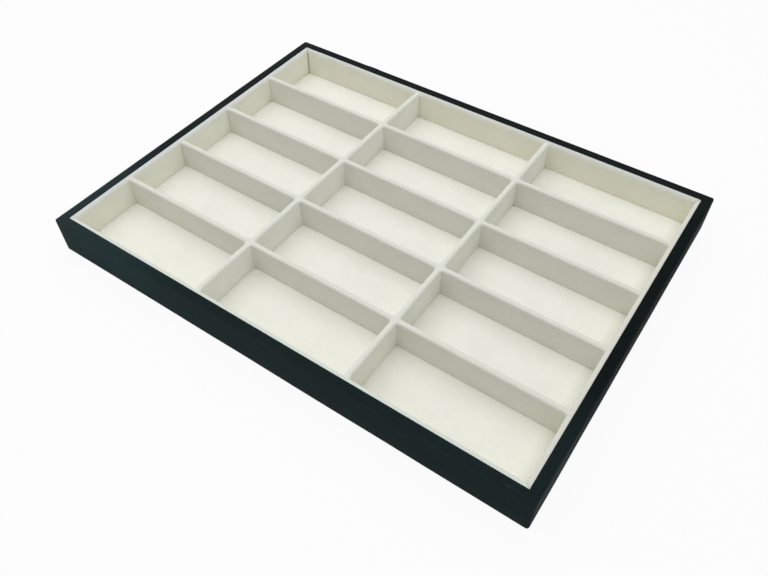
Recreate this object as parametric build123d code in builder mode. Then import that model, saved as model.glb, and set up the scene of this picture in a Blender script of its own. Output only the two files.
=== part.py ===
from build123d import *
import os

os.makedirs("parts", exist_ok=True)

# Eyewear display tray: a shallow open tray of wall boards covered in black leatherette,
# lined and divided with boards covered in cream velvet, three columns by five rows.
# Millimetres. The origin is at the middle of the underside, X along the length,
# Y from the front to the back, Z up.

# Overall sizes
tray_length = 510.0
tray_width = 384.0
rim_height = 39.5
corner_radius = 2.5

# Covering sheets
leatherette = 0.65
velvet = 0.7
felt_edge = 0.8
felt_inset = 3.0
rim_edge_radius = 1.0
rim_turn_in = 18.0
bottom_turn_in = 20.0
felt_gap = 0.3

# Boards of the casing
wall_thickness = 8.6
corner_rebate = 3.0
base_thickness = 3.2
base_rebate = 4.0
glue_gap = 0.1

# Pins that hold the corners
pin_diameter = 1.4
pin_head_diameter = 2.4
pin_head_height = 0.8
pin_length = 18.0
pin_sink = 0.5
pin_clearance = 0.05
pin_pitch = 20.0
pins_per_corner = 2

# Floor panel
floor_board_thickness = 2.2
floor_gap = 0.3

# Lining panels, which stand on the floor panel and end flush with the rim. Their tops are
# rounded towards the compartments and crisp beside the rim.
lining_board_thickness = 3.0
lining_edge_radius = 3.0
lining_back_edge_radius = 0.5
lining_turn_over = 14.0

# Divider grid
columns = 3
rows = 5
divider_board_thickness = 4.4
divider_edge_radius = 2.2
divider_end_gap = 0.2
slot_clearance = 0.15
lap_clearance = 0.2

# Heights worked out from the sizes above
cover_bottom = felt_edge
boards_bottom = cover_bottom + leatherette
boards_top = rim_height - leatherette
base_top = boards_bottom + base_thickness
floor_board_top = base_top + floor_board_thickness
floor_top = floor_board_top + velvet
panel_height = rim_height - floor_top
lap_height = panel_height / 2

# The velvet's roundings stay inside the panels' thickness
largest_edge_share = 0.45
largest_back_edge_share = 0.3

# Half lengths and half widths, from the outside to the inside
outer_x = tray_length / 2
outer_y = tray_width / 2
board_outer_x = outer_x - leatherette
board_outer_y = outer_y - leatherette
board_inner_x = board_outer_x - wall_thickness
board_inner_y = board_outer_y - wall_thickness
rim_inner_x = board_inner_x - leatherette
rim_inner_y = board_inner_y - leatherette
lining_thickness = lining_board_thickness + 2 * velvet
lining_back_edge = min(lining_back_edge_radius, largest_back_edge_share * lining_thickness)
lining_edge = min(lining_edge_radius, (1 - largest_back_edge_share) * lining_thickness)
lining_face_x = rim_inner_x - lining_thickness
lining_face_y = rim_inner_y - lining_thickness
base_half_x = board_inner_x + base_rebate
base_half_y = board_inner_y + base_rebate
side_board_end = board_inner_y + corner_rebate - glue_gap

# Divider places: equal compartments between the lining faces
divider_thickness = divider_board_thickness + 2 * velvet
divider_edge = min(divider_edge_radius, largest_edge_share * divider_thickness)
column_clear = (2 * lining_face_x - (columns - 1) * divider_thickness) / columns
row_clear = (2 * lining_face_y - (rows - 1) * divider_thickness) / rows
column_pitch = column_clear + divider_thickness
row_pitch = row_clear + divider_thickness
column_places = [(i + 1 - columns / 2) * column_pitch for i in range(columns - 1)]
row_places = [(i + 1 - rows / 2) * row_pitch for i in range(rows - 1)]
column_length = 2 * (lining_face_y - divider_end_gap)
row_length = 2 * (lining_face_x - divider_end_gap)
slot_width = divider_thickness + 2 * slot_clearance
slot_height = lap_height + lap_clearance

# Pin places, shared by the pins and the holes that they are driven into
hole_diameter = pin_diameter + 2 * pin_clearance
hole_depth = pin_sink + pin_length + pin_clearance
head_hole_diameter = pin_head_diameter + 2 * pin_clearance
head_hole_depth = pin_sink + pin_head_height + pin_clearance
pin_x = board_outer_x - wall_thickness / 2
boards_middle = (boards_bottom + boards_top) / 2
pin_heights = [
    boards_middle + (i - (pins_per_corner - 1) / 2) * pin_pitch for i in range(pins_per_corner)
]


def keep(builder, name):
    """Label a finished piece and write it to its own file."""
    builder.part.label = name
    export_step(builder.part, f"parts/{name}.step")


def pin_circles(side, diameter, depth):
    """Circles at the pins of one long board, at a depth below its outer face, facing inwards."""
    planes = [
        Plane(origin=(x, side * (board_outer_y - depth), z), x_dir=(1, 0, 0), z_dir=(0, -side, 0))
        for x in (-pin_x, pin_x)
        for z in pin_heights
    ]
    with BuildSketch(*planes) as circles:
        Circle(diameter / 2)
    return circles.sketch


# The step in the wall boards that the base board is glued into
with BuildSketch(Plane.XY.offset(boards_bottom)) as base_step:
    Rectangle(2 * base_half_x, 2 * base_half_y)
base_step_height = base_thickness + glue_gap

# Underside felt: thick in the middle, pressed thin over the turned-in leatherette
with BuildPart() as underside_felt:
    with BuildSketch():
        Rectangle(tray_length - 2 * felt_inset, tray_width - 2 * felt_inset)
        fillet(vertices(), corner_radius - leatherette)
    extrude(amount=felt_edge)
    with BuildSketch(Plane.XY.offset(felt_edge)):
        Rectangle(
            tray_length - 2 * (bottom_turn_in + felt_gap),
            tray_width - 2 * (bottom_turn_in + felt_gap),
        )
    extrude(amount=leatherette)
keep(underside_felt, "underside_felt")

# Base board, let into the four wall boards
with BuildPart() as base_board:
    with BuildSketch(Plane.XY.offset(boards_bottom)):
        Rectangle(2 * (base_half_x - glue_gap), 2 * (base_half_y - glue_gap))
    extrude(amount=base_thickness)
keep(base_board, "base_board")

# Front and back wall boards: full length, rebated at the ends for the side boards
for side, name in ((-1, "front_wall_board"), (1, "back_wall_board")):
    with BuildPart() as long_board:
        middle_y = side * (board_outer_y - wall_thickness / 2)
        with BuildSketch(Plane.XY.offset(boards_bottom)):
            with Locations((0, middle_y)):
                Rectangle(2 * board_outer_x, wall_thickness)
        extrude(amount=boards_top - boards_bottom)
        with BuildSketch(Plane.XY.offset(boards_bottom)):
            with Locations((-pin_x, side * board_inner_y), (pin_x, side * board_inner_y)):
                Rectangle(wall_thickness, 2 * corner_rebate)
        extrude(amount=boards_top - boards_bottom, mode=Mode.SUBTRACT)
        extrude(base_step.sketch, amount=base_step_height, mode=Mode.SUBTRACT)
        outer_face = long_board.faces().sort_by(Axis.Y if side < 0 else -Axis.Y)[0]
        fillet(outer_face.edges().filter_by(Axis.Z), corner_radius - leatherette)
        extrude(pin_circles(side, hole_diameter, 0), amount=hole_depth, mode=Mode.SUBTRACT)
        extrude(pin_circles(side, head_hole_diameter, 0), amount=head_hole_depth, mode=Mode.SUBTRACT)
    keep(long_board, name)

# Left and right wall boards: their ends stand in the long boards' rebates
for side, name in ((-1, "left_wall_board"), (1, "right_wall_board")):
    with BuildPart() as side_board:
        middle_x = side * (board_outer_x - wall_thickness / 2)
        with BuildSketch(Plane.XY.offset(boards_bottom)):
            with Locations((middle_x, 0)):
                Rectangle(wall_thickness, 2 * side_board_end)
        extrude(amount=boards_top - boards_bottom)
        extrude(base_step.sketch, amount=base_step_height, mode=Mode.SUBTRACT)
        extrude(pin_circles(-1, hole_diameter, 0), amount=hole_depth, mode=Mode.SUBTRACT)
        extrude(pin_circles(1, hole_diameter, 0), amount=hole_depth, mode=Mode.SUBTRACT)
    keep(side_board, name)

# Corner pins, driven through the long boards into the ends of the side boards
with BuildPart() as corner_pins:
    for side in (-1, 1):
        extrude(pin_circles(side, pin_diameter, pin_sink), amount=pin_length)
        extrude(pin_circles(side, pin_head_diameter, pin_sink), amount=pin_head_height)
keep(corner_pins, "corner_pins")

# Outer cover: one sheet of leatherette, from under the base, up the outside, over the rim
# and down behind the lining
with BuildPart() as outer_cover:
    with BuildSketch(Plane.XY.offset(cover_bottom)):
        RectangleRounded(tray_length, tray_width, corner_radius)
    extrude(amount=rim_height - cover_bottom)
    rim_face = outer_cover.faces().sort_by(Axis.Z)[-1]
    fillet(rim_face.edges(), rim_edge_radius)
    with BuildSketch(Plane.XY.offset(boards_bottom)):
        RectangleRounded(2 * board_outer_x, 2 * board_outer_y, corner_radius - leatherette)
    extrude(amount=boards_top - boards_bottom, mode=Mode.SUBTRACT)
    with BuildSketch(Plane.XY.offset(boards_top)):
        Rectangle(2 * board_inner_x, 2 * board_inner_y)
    extrude(amount=leatherette, mode=Mode.SUBTRACT)
    with BuildSketch(Plane.XY.offset(cover_bottom)):
        Rectangle(tray_length - 2 * bottom_turn_in, tray_width - 2 * bottom_turn_in)
    extrude(amount=leatherette, mode=Mode.SUBTRACT)
    with BuildSketch(Plane.XY.offset(rim_height - rim_turn_in)):
        Rectangle(2 * board_inner_x, 2 * board_inner_y)
        Rectangle(2 * rim_inner_x, 2 * rim_inner_y, mode=Mode.SUBTRACT)
    extrude(amount=rim_turn_in)
keep(outer_cover, "outer_cover")

# Floor panel: a board with its velvet, on the base board between the walls
with BuildPart() as floor_board:
    with BuildSketch(Plane.XY.offset(base_top)):
        Rectangle(2 * (board_inner_x - floor_gap), 2 * (board_inner_y - floor_gap))
    extrude(amount=floor_board_thickness)
keep(floor_board, "floor_board")

with BuildPart() as floor_velvet:
    with BuildSketch(Plane.XY.offset(floor_board_top)):
        Rectangle(2 * (board_inner_x - floor_gap), 2 * (board_inner_y - floor_gap))
    extrude(amount=velvet)
keep(floor_velvet, "floor_velvet")

# Lining panels. Each section stands on a plane in a corner of the casing, with its local X
# towards the inside of the tray and its local Y up, and is drawn out to the next corner.
# Both ends are cut at 45 degrees, so that the four panels meet in mitres.
lining_panels = [
    # side, its first corner, the direction of its run, the direction inwards, half its length
    ("front", (-rim_inner_x, -rim_inner_y, floor_top), Vector(1, 0, 0), Vector(0, 1, 0), rim_inner_x),
    ("back", (rim_inner_x, rim_inner_y, floor_top), Vector(-1, 0, 0), Vector(0, -1, 0), rim_inner_x),
    ("left", (-rim_inner_x, rim_inner_y, floor_top), Vector(0, -1, 0), Vector(1, 0, 0), rim_inner_y),
    ("right", (rim_inner_x, -rim_inner_y, floor_top), Vector(0, 1, 0), Vector(-1, 0, 0), rim_inner_y),
]


def lining_board_section(plane):
    """The board's end: inside the velvet, rounded with it towards the compartments."""
    with BuildSketch(plane) as section:
        with Locations((velvet, 0)):
            Rectangle(lining_board_thickness, panel_height - velvet, align=(Align.MIN, Align.MIN))
        top_corners = section.vertices().group_by(Axis.Y)[-1]
        fillet(top_corners.sort_by(Axis.X)[-1], lining_edge - velvet)
    return section.sketch


def lining_outer_section(plane):
    """The covered panel's end. Behind it the velvet only reaches down to its turn-over."""
    with BuildSketch(plane) as section:
        Rectangle(lining_thickness, panel_height, align=(Align.MIN, Align.MIN))
        top_corners = section.vertices().group_by(Axis.Y)[-1].sort_by(Axis.X)
        fillet(top_corners[-1], lining_edge)
        fillet(top_corners[0], lining_back_edge)
        Rectangle(
            velvet,
            panel_height - lining_turn_over,
            align=(Align.MIN, Align.MIN),
            mode=Mode.SUBTRACT,
        )
    return section.sketch


for side, corner, along, inwards, half_run in lining_panels:
    plane = Plane(origin=corner, x_dir=inwards, z_dir=along)
    mitres = (
        Plane(origin=plane.origin, z_dir=along - inwards),
        Plane(origin=plane.origin + along * 2 * half_run, z_dir=-along - inwards),
    )

    with BuildPart() as lining_board:
        extrude(lining_board_section(plane), amount=2 * half_run)
        for mitre in mitres:
            split(bisect_by=mitre, keep=Keep.TOP)
    keep(lining_board, f"{side}_lining_board")

    with BuildPart() as lining_velvet:
        extrude(lining_outer_section(plane), amount=2 * half_run)
        extrude(lining_board_section(plane), amount=2 * half_run, mode=Mode.SUBTRACT)
        for mitre in mitres:
            split(bisect_by=mitre, keep=Keep.TOP)
    keep(lining_velvet, f"{side}_lining_velvet")

# Divider grid. Column dividers are slotted from below and row dividers from above, so the
# columns' tops run through and the rows' tops are interrupted. Each divider is a board with a
# velvet sleeve over its top and both faces, and the slots go through both.
dividers = []
for number, x in enumerate(column_places, start=1):
    plane = Plane(origin=(x, -column_length / 2, floor_top), x_dir=(-1, 0, 0), z_dir=(0, 1, 0))
    crossings = [(x, y) for y in row_places]
    dividers.append((f"column_divider_{number}", plane, column_length, crossings, floor_top))
for number, y in enumerate(row_places, start=1):
    plane = Plane(origin=(-row_length / 2, y, floor_top), x_dir=(0, 1, 0), z_dir=(1, 0, 0))
    crossings = [(x, y) for x in column_places]
    lap_bottom = floor_top + lap_height - lap_clearance
    dividers.append((f"row_divider_{number}", plane, row_length, crossings, lap_bottom))


def divider_section(plane, thickness, height, edge):
    """A divider's end: its board, or its board in velvet, with both top corners rounded."""
    with BuildSketch(plane) as section:
        Rectangle(thickness, height, align=(Align.CENTER, Align.MIN))
        fillet(section.vertices().group_by(Axis.Y)[-1], edge)
    return section.sketch


for name, plane, length, crossings, slot_bottom in dividers:
    board = divider_section(
        plane, divider_board_thickness, panel_height - velvet, divider_edge - velvet
    )
    covered_board = divider_section(plane, divider_thickness, panel_height, divider_edge)
    with BuildSketch(Plane.XY.offset(slot_bottom)) as slots:
        with Locations(*crossings):
            Rectangle(slot_width, slot_width)

    with BuildPart() as divider_board:
        extrude(board, amount=length)
        extrude(slots.sketch, amount=slot_height, mode=Mode.SUBTRACT)
    keep(divider_board, f"{name}_board")

    with BuildPart() as divider_velvet:
        extrude(covered_board, amount=length)
        extrude(board, amount=length, mode=Mode.SUBTRACT)
        extrude(slots.sketch, amount=slot_height, mode=Mode.SUBTRACT)
    keep(divider_velvet, f"{name}_velvet")

print(f"compartments {columns} by {rows}, each {column_clear:.1f} by {row_clear:.1f} mm")
print(f"panels {panel_height:.2f} mm high, from the floor velvet to the rim")
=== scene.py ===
# Eyewear display tray: its leatherette, velvet and felt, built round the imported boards.
# Metres. X runs along the length, Y from the front to the back, Z up from the underside.

import math

import bmesh
import bpy
from bpy.props import FloatProperty, FloatVectorProperty, PointerProperty
from mathutils import Euler, Matrix, Vector, noise


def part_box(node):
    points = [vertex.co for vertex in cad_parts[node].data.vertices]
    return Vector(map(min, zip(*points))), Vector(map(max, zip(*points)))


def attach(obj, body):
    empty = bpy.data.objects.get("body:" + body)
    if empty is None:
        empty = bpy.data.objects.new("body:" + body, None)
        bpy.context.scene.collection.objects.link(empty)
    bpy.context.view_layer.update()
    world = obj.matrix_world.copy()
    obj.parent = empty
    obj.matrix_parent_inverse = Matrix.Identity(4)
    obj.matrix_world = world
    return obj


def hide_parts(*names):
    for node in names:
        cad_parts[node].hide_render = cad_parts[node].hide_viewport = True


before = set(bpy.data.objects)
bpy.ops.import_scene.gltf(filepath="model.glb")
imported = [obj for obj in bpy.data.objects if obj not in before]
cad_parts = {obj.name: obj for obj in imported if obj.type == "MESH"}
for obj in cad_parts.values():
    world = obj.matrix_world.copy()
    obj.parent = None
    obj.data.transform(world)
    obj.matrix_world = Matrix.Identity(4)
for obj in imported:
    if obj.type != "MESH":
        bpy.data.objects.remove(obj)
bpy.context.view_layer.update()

bl_info = {
    "name": "Eyewear display tray",
    "version": (1, 0, 0),
    "blender": (4, 5, 0),
    "location": "3D View > Sidebar > Display Tray",
    "description": "Covers the boards of a display tray in leatherette, velvet and felt",
    "category": "Add Mesh",
}

MM = 0.001

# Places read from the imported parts
cover_low, cover_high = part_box("outer_cover")
felt_low, felt_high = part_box("underside_felt")
floor_low, floor_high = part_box("floor_velvet")
column_low, column_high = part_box("column_divider_1_velvet")
left_low, left_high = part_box("left_lining_velvet")
front_low, front_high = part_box("front_lining_velvet")

COLUMN_NODES = ("column_divider_1", "column_divider_2")
ROW_NODES = ("row_divider_1", "row_divider_2", "row_divider_3", "row_divider_4")
LINING_TURNS = {"front": 0, "right": 90, "back": 180, "left": 270}

FLOOR_TOP = floor_high.z
PANEL_TOP = column_high.z
RIM_TOP = cover_high.z
PANEL_HALF = (column_high.x - column_low.x) / 2
LAP_LEVEL = (FLOOR_TOP + PANEL_TOP) / 2
LINING_FACE = (-left_high.x, -front_high.y)
RIM_INNER = (-left_low.x, -front_low.y)

# How far apart the meshes' loops lie
COVER_PITCH = 12 * MM
FLOOR_PITCH = 9 * MM
SLEEVE_PITCH = 5 * MM
FELT_PITCH = 14 * MM

# How far below the panels' tops a loop holds their faces straight
TOP_LOOP = 5 * MM

# The cover's loops: shares of its height, and how far in from a fold, the rim's edge and the lining
WALL_SHARES = (0.06, 0.29, 0.29, 0.29, 0.07)
FOLD_LOOP = 2 * MM
RIM_LOOP = 5.5 * MM
LINING_LOOP = 1 * MM

# The cover's joint on the back: where it starts, and how wide its crisp side and its soft side are
JOINT_START = -0.62 * cover_high.x
JOINT_STEP = 0.4 * MM
JOINT_SLOPE = 5 * MM

# How long the waves in the glued sheets are
COVER_WAVES = 55 * MM
FLOOR_WAVES = 24 * MM
DIVIDER_WAVES = 45 * MM
FACE_WAVES = 14 * MM
TOP_WAVES = 20 * MM
LINING_WAVES = 30 * MM
FELT_WAVES = 40 * MM
FELT_EDGE_WAVES = 9 * MM

# How high the felt's waves are, and its cut edge's as a share of its size
FELT_WAVER = 0.05 * MM
FELT_EDGE_WAVER = 0.0004

# How deep a cut edge goes into the velvet that it meets, and how near two places count as one
TUCK = 0.1 * MM
SAME = 0.01 * MM

# How far from a panel the floor takes painted light, painted shade beside it and painted shade in a soft
# band
PAINTED_LIGHT_REACH = 17 * MM
PAINTED_SHADE_REACH = 12 * MM
BAND_START = 22 * MM
BAND_END = 55 * MM

# How much painted light the floor takes away from the corners, and how much painted shade it takes at most
PAINTED_LIGHT_SHARE = 0.62
PAINTED_SHADE_SHARE = 0.4
BAND_SHARE = 0.15


def middle(node):
    """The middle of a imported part's box."""
    low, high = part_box(node)
    return (low + high) / 2


column_centres = [middle(f"{name}_velvet").x for name in COLUMN_NODES]
row_centres = [middle(f"{name}_velvet").y for name in ROW_NODES]


def length(name, description, default):
    """A size in metres that a user can change."""
    return FloatProperty(
        name=name,
        description=description,
        default=default,
        min=0.0,
        max=0.1,
        precision=5,
        unit="LENGTH",
    )


def colour(name, description, default):
    """A colour, as linear red, green and blue, that a user can change."""
    return FloatVectorProperty(
        name=name,
        description=description,
        default=default,
        min=0.0,
        max=1.0,
        size=3,
        subtype="COLOR",
    )


class TraySizes(bpy.types.PropertyGroup):
    """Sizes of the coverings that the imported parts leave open."""

    leatherette: length("Leatherette", "Thickness of the black sheet", 0.65 * MM)
    corner_radius: length("Corner radius", "Rounding of the upright outer corners", 2.5 * MM)
    rim_edge: length("Rim edge", "Rounding of the rim's outer edge", 1.1 * MM)
    inner_edge: length("Inner edge", "Rounding of the rim's inner edge", 0.4 * MM)
    foot_edge: length("Foot edge", "Rounding of the lower outer edge", 0.8 * MM)
    rim_turn_in: length("Rim turn-in", "How far the sheet goes down behind the lining", 18 * MM)
    bottom_turn_in: length("Bottom turn-in", "How far the sheet goes in under the base", 20 * MM)
    sheet_overlap: length("Overlap", "Width of the sheet's overlapped joint on the back", 12 * MM)
    overlap_step: length("Overlap step", "How far the overlapped joint stands out", 0.3 * MM)
    velvet: length("Velvet", "Thickness of the velvet with its pile", 0.7 * MM)
    divider_edge: length("Divider edge", "Rounding of the dividers' tops", 2.3 * MM)
    lining_edge: length("Lining edge", "Rounding of the linings' tops towards the compartments", 3.6 * MM)
    lining_back_edge: length("Lining back edge", "Rounding of the linings' tops towards the rim", 0.5 * MM)
    lining_turn_over: length("Lining turn-over", "How far the velvet goes down at the back", 14 * MM)
    crossing_web: length("Crossing web", "Rounding where the dividers' tops run together", 2.5 * MM)
    upright_web: length("Upright web", "Rounding of the upright corners below the tops", 0.8 * MM)
    crossing_dip: length("Crossing dip", "How far the rows' tops dip at the columns", 0.25 * MM)
    end_dip: length("End dip", "How far the dividers' tops dip at the linings", 0.7 * MM)
    sleeve_hem: length("Sleeve hem", "Rounding of the velvet where it meets the floor", 0.3 * MM)
    seam_depth: length("Seam depth", "How far the velvet draws in where the linings meet", 0.3 * MM)
    floor_groove: length("Floor groove", "How far the panels press into the floor", 0.12 * MM)
    velvet_waver: length("Velvet waver", "Unevenness of the glued velvet", 0.16 * MM)
    leather_waver: length("Leatherette waver", "Unevenness of the glued sheet", 0.08 * MM)
    felt_corner: length("Felt corner", "Rounding of the felt's corners", 1.85 * MM)
    felt_thickness: length("Felt thickness", "Thickness of the felt over the turned-in sheet", 0.8 * MM)


class TrayColours(bpy.types.PropertyGroup):
    """Colours of the tray's materials."""

    leatherette: colour("Leatherette", "Black sheet", (0.0050, 0.0072, 0.0068))
    # Painted reflection: a bluish lighter tone laid round the front left corner, along the front and on
    # the front face
    leatherette_reflection: colour("Leatherette reflection", "Painted reflection on it", (0.0238, 0.0450, 0.0475))
    # Rubbed places, painted glints near the end faces' corners, and lint
    leatherette_wear_and_glint: colour("Pale leatherette", "Rubbed and lighter places, and painted glints", (0.026, 0.034, 0.036))
    # The floor, dividers and linings are one cream velvet; these copies differ as painted light and shade,
    # darker on the rows and on the front and back linings, lighter on the columns and on the left and
    # right linings
    floor_velvet: colour("Floor velvet", "Cream pile of the floor", (0.875, 0.875, 0.809))
    row_velvet: colour("Row velvet", "Cream pile of the row dividers", (0.762, 0.768, 0.692))
    column_velvet: colour("Column velvet", "Cream pile of the column dividers", (0.920, 0.930, 0.855))
    front_velvet: colour("Front velvet", "Cream pile of the front lining", (0.852, 0.843, 0.722))
    right_velvet: colour("Right velvet", "Cream pile of the right lining", (0.935, 0.935, 0.820))
    back_velvet: colour("Back velvet", "Cream pile of the back lining", (0.852, 0.843, 0.722))
    left_velvet: colour("Left velvet", "Cream pile of the left lining", (0.935, 0.935, 0.828))
    # Painted light on the floor along the panel behind and in the corner at its left
    floor_fold_and_painted_light: colour("Floor painted light", "Painted light along the panel behind", (0.966, 0.966, 0.892))
    # Darker tones over the panels' tops: partly pile opened over the bend, partly painted shade
    row_fold_and_painted_light: colour("Row fold", "Pile opened over the rows' tops", (0.749, 0.754, 0.684))
    column_fold_and_painted_light: colour("Column fold", "Pile opened over the columns' tops", (0.765, 0.775, 0.702))
    front_fold_and_painted_light: colour("Front fold", "Pile opened over the front lining's top", (0.707, 0.763, 0.719))
    right_fold_and_painted_light: colour("Right fold", "Pile opened over the right lining's top", (0.700, 0.693, 0.641))
    back_fold_and_painted_light: colour("Back fold", "Pile opened over the back lining's top", (0.648, 0.669, 0.626))
    left_fold_and_painted_light: colour("Left fold", "Pile opened over the left lining's top", (0.676, 0.704, 0.690))
    # Painted shade colour, laid in seams, in corners and on the floor beside panels
    velvet_shade: colour("Velvet shade", "Painted shade in seams and corners", (0.50, 0.49, 0.40))
    felt: colour("Felt", "Black felt", (0.013, 0.013, 0.014))
    felt_nap: colour("Felt nap", "Black felt where it is brushed", (0.019, 0.019, 0.020))
    felt_lint: colour("Felt lint", "Lint on the felt", (0.07, 0.07, 0.068))
    fibreboard: colour("Fibreboard", "Boards of the casing", (0.42, 0.28, 0.16))
    fibreboard_fleck: colour("Fibreboard fleck", "Dark fibres in the boards", (0.27, 0.17, 0.09))
    card: colour("Card", "Grey boards in the velvet", (0.34, 0.33, 0.30))
    card_fleck: colour("Card fleck", "Dark fibres in the grey boards", (0.22, 0.22, 0.21))
    steel: colour("Steel", "Panel pins", (0.56, 0.55, 0.53))
    steel_dull: colour("Dull steel", "Panel pins where they are dull", (0.4, 0.38, 0.35))
    table: colour("Table", "Pale table under the tray", (0.80, 0.80, 0.80))


# Mesh helpers


def in_mm(*values):
    """Millimetres as metres."""
    return [value * MM for value in values]


def stations(start, end, pitch, extra=()):
    """Places from start to end, about a pitch apart, with the extra places among them."""
    count = max(1, round((end - start) / pitch))
    places = [start + (end - start) * i / count for i in range(count + 1)]
    wanted = sorted(place for place in extra if start < place < end)
    kept = [
        place
        for place in places[1:-1]
        if all(abs(place - other) > 0.4 * pitch for other in wanted)
    ]
    return sorted([start, end, *wanted, *kept])


def beside_panels(centres, steps):
    """Places at steps out from both faces of the panels that stand at the centres."""
    faces = [(centre, side) for centre in centres for side in (-1, 1)]
    return [centre + side * (PANEL_HALF + step) for centre, side in faces for step in steps]


def beside_ends(reach, steps):
    """Places at steps in from both ends of a length that runs from minus to plus reach."""
    return [side * (reach - step) for side in (-1, 1) for step in steps]


def wire(bm, points):
    """An open line of vertices and edges."""
    verts = [bm.verts.new(point) for point in points]
    for first, second in zip(verts, verts[1:]):
        bm.edges.new((first, second))
    return verts


def extrude_line(bm, edges):
    """Extrude edges where they are, and return the new vertices and the new line of edges."""
    made = bmesh.ops.extrude_edge_only(bm, edges=edges)["geom"]
    verts = [item for item in made if isinstance(item, bmesh.types.BMVert)]
    moved = set(verts)
    made_edges = [item for item in made if isinstance(item, bmesh.types.BMEdge)]
    return verts, [edge for edge in made_edges if moved.issuperset(edge.verts)]


def draw_out(bm, edges, direction, places):
    """Extrude a line of edges from place to place along a direction."""
    for start, end in zip(places, places[1:]):
        verts, edges = extrude_line(bm, edges)
        bmesh.ops.translate(bm, verts=verts, vec=direction * (end - start))


def round_off(bm, geom, radius, segments, affect):
    """Round vertices or edges."""
    bmesh.ops.bevel(
        bm,
        geom=geom,
        offset=radius,
        segments=segments,
        profile=0.5,
        affect=affect,
        material=-1,
        clamp_overlap=affect == "EDGES",
    )


def turn_about(bm, degrees):
    """Turn a mesh about the tray's upright middle line."""
    turn = Matrix.Rotation(math.radians(degrees), 3, "Z")
    bmesh.ops.rotate(bm, verts=bm.verts, cent=(0, 0, 0), matrix=turn)


def face_outwards(bm, above=-1.0, up=1):
    """Make the faces agree, so that those above a level point up, or down where up is -1."""
    bmesh.ops.recalc_face_normals(bm, faces=bm.faces)
    bm.normal_update()
    judged = [face for face in bm.faces if face.calc_center_median().z > above]
    if sum(up * face.normal.z * face.calc_area() for face in judged) < 0:
        bmesh.ops.reverse_faces(bm, faces=bm.faces)


def smooth_step(low, high, value):
    """0 below low, 1 above high and a soft ramp between."""
    part = min(1.0, max(0.0, (value - low) / (high - low)))
    return part * part * (3 - 2 * part)


def waver(point, wavelength, seed):
    """A smooth, repeatable unevenness between about -1 and 1."""
    return 2 * noise.noise(point / wavelength + Vector((seed, 3.7 * seed, 1.9 * seed)))


def crown(height, radius):
    """How far a panel's rounded top has drawn in from its face at a height."""
    above = height - (PANEL_TOP - radius)
    if above <= 0:
        return 0.0
    return radius - math.sqrt(max(0.0, radius * radius - above * above))


def finish_piece(name, bm, material, thickness, masks=None):
    """Make the mesh a sheet that rides on the tray and wears the material given."""
    mesh = bpy.data.meshes.new(name)
    bm.to_mesh(mesh)
    bm.free()
    for polygon in mesh.polygons:
        polygon.use_smooth = True
    for label, mask in (masks or {}).items():
        layer = mesh.attributes.new(label, "FLOAT", "POINT")
        for vertex, item in zip(mesh.vertices, layer.data):
            item.value = mask(vertex.co)
    mesh.materials.append(material)
    piece = bpy.data.objects.new(name, mesh)
    bpy.context.scene.collection.objects.link(piece)
    wall = piece.modifiers.new("Thickness", "SOLIDIFY")
    wall.thickness = thickness
    wall.offset = -1
    wall.use_even_offset = True
    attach(piece, "root")
    return piece


# Material helpers


class Wiring:
    """Adds nodes to a material or a node group and links them."""

    def __init__(self, tree):
        self.tree = tree

    def add(self, kind, values=None, **settings):
        """A node with its settings, and values or links on its inputs."""
        made = self.tree.nodes.new(kind)
        for setting, value in settings.items():
            setattr(made, setting, value)
        for name, value in (values or {}).items():
            self.put(made.inputs[name], value)
        return made

    def put(self, socket, value):
        """Link an output to a socket, or set the socket's own value."""
        if isinstance(value, bpy.types.NodeSocket):
            self.tree.links.new(value, socket)
        else:
            socket.default_value = value

    def calc(self, operation, first, second=0.0, third=0.0, clamp=False):
        """One step of arithmetic."""
        values = {0: first, 1: second, 2: third}
        return self.add("ShaderNodeMath", values, operation=operation, use_clamp=clamp).outputs[0]

    def times(self, first, *others):
        """The product of all values."""
        for other in others:
            first = self.calc("MULTIPLY", first, other)
        return first

    def largest(self, first, *others):
        """The largest of all values."""
        for other in others:
            first = self.calc("MAXIMUM", first, other)
        return first

    def hypotenuse(self, first, second):
        """The length of a slanted line from its two legs."""
        squares = [self.calc("POWER", leg, 2.0) for leg in (first, second)]
        return self.calc("SQRT", self.calc("ADD", *squares))

    def axes(self, place):
        """A place's X, Y and Z."""
        return self.add("ShaderNodeSeparateXYZ", {"Vector": place}).outputs

    def scale(self, vector, factor):
        """A vector or a colour times a number."""
        values = {0: vector, "Scale": factor}
        return self.add("ShaderNodeVectorMath", values, operation="SCALE").outputs[0]

    def blend(self, factor, first, second):
        """A mix of two colours."""
        values = {0: factor, 6: first, 7: second}
        return self.add("ShaderNodeMix", values, data_type="RGBA", blend_type="MIX").outputs[2]

    def shrink(self, place, size):
        """Places measured in steps of a size."""
        return self.scale(place, self.calc("DIVIDE", 1.0, size))

    def clouds(self, place, size, detail=2.0, roughness=0.5):
        """Soft noise whose blotches are about a size across."""
        values = {"Vector": self.shrink(place, size), "Scale": 1.0}
        values |= {"Detail": detail, "Roughness": roughness}
        return self.add("ShaderNodeTexNoise", values).outputs[0]

    def cells(self, place, size, feature="F1", outlet="Distance"):
        """Cells about a size across."""
        values = {"Vector": self.shrink(place, size), "Scale": 1.0}
        return self.add("ShaderNodeTexVoronoi", values, feature=feature).outputs[outlet]

    def spread(self, value, low, high, new_low=0.0, new_high=1.0, kind="SMOOTHSTEP"):
        """A value taken from one range to another."""
        made = self.add("ShaderNodeMapRange", interpolation_type=kind)
        for socket, number in zip(made.inputs, (value, low, high, new_low, new_high)):
            self.put(socket, number)
        return made.outputs[0]

    def place_group(self, group, values):
        """A node group with its own values, as its outputs."""
        return self.add("ShaderNodeGroup", values, node_tree=group).outputs


SOCKET_KINDS = {type(None): "NodeSocketVector", tuple: "NodeSocketColor", float: "NodeSocketFloat"}


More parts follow.
